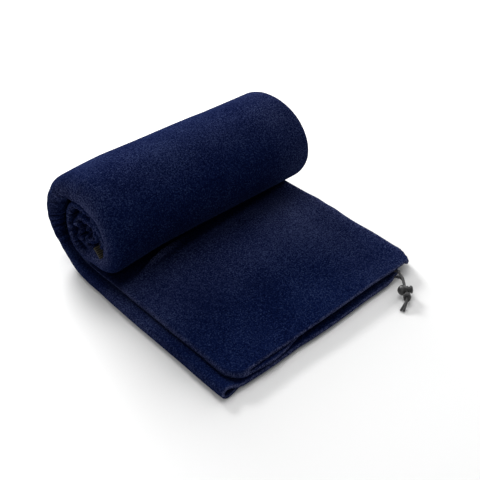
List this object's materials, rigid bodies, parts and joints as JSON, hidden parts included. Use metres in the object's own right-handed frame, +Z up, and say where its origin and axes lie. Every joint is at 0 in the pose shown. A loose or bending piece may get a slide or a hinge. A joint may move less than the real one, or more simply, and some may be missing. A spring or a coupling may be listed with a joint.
{
  "type": "travel towel",
  "caption": "Plush travel towel sewn as a drawstring tube, folded in half along its length and part rolled up, with a cord lock on its drawcord.",
  "frame": {"origin": "on the surface the towel lies on, under the centre of the cloth's box", "axes": "+X along the roll, +Y from the mouth's hem towards the roll, +Z up"},
  "size_m": [0.294, 0.3435, 0.1261],
  "materials": {
    "towel_cloth": "deep navy plush microfibre, short velour pile",
    "hem_cloth": "the same plush cloth, turned and sewn as a drawcord casing",
    "sewing_thread": "dark navy polyester thread",
    "elastic_cord": "charcoal braided elastic cord",
    "toggle_plastic": "charcoal moulded plastic, fine spark texture",
    "spring_steel": "bright drawn wire",
    "woven_tape": "taupe ribbed woven tape"
  },
  "bodies": {
    "rolled_end": {"lower_pair_rolled": "towel_cloth", "upper_pair_rolled": "towel_cloth", "woven_label": "woven_tape"},
    "free_end": {"lower_pair_free": "towel_cloth", "upper_pair_free": "towel_cloth", "lower_hem": "hem_cloth", "upper_hem": "hem_cloth", "hem_stitches": "sewing_thread", "buttonhole_stitches": "sewing_thread", "drawcord_in_hem": "elastic_cord", "cord_strand_low": "elastic_cord", "cord_strand_high": "elastic_cord", "cord_knot": "elastic_cord"},
    "cord_lock": {"cord_lock_body": "toggle_plastic", "cord_lock_spring": "spring_steel"},
    "lock_button": {"cord_lock_plunger": "toggle_plastic"}
  },
  "joints": [
    {"name": "free_end_lift", "type": "hinge", "parent": "rolled_end", "child": "free_end", "pos_m": [0, 0.015, 0.017], "axis": [-1, 0, 0], "range_deg": [0, 90]},
    {"name": "cord_lock_slide", "type": "slide", "parent": "free_end", "child": "cord_lock", "axis": [0.6559, 0.7454, 0.1193], "range_m": [0, 0.008]},
    {"name": "button_press", "type": "slide", "parent": "cord_lock", "child": "lock_button", "axis": [-0.7393, 0.6662, -0.098], "range_m": [0, 0.0018], "stiffness_N_per_m": 600, "springref_m": -0.003, "deforming": ["cord_lock_spring"]}
  ]
}
